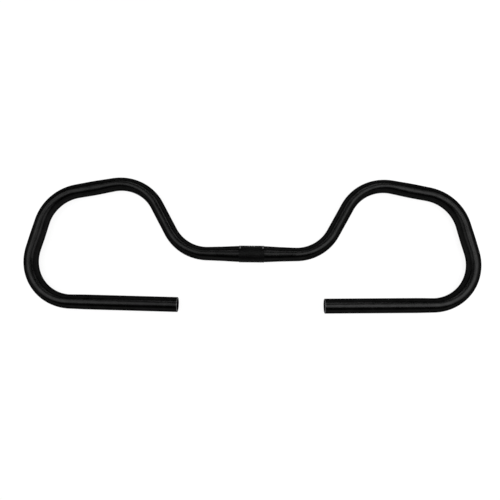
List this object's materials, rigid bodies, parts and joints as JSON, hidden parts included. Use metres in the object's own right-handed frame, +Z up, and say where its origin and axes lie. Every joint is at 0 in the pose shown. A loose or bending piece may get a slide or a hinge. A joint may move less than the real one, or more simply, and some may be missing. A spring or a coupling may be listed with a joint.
{
  "type": "butterfly handlebar",
  "caption": "Black butterfly handlebar for a touring bicycle: one bent tube with a swelled, knurled clamp zone and a loop on each side that ends in an open grip.",
  "frame": {"origin": "middle of the clamp zone, on the tube's axis", "axes": "+X along the clamp zone's axis to the rider's right, +Y forward, +Z up from the bar's plane"},
  "size_m": [0.6892, 0.2066, 0.0254],
  "materials": {
    "black_aluminium": "satin black, fine blasted grain, knurled at the clamp zone"
  },
  "bodies": {
    "root": {"handlebar": "black_aluminium"}
  },
  "joints": []
}
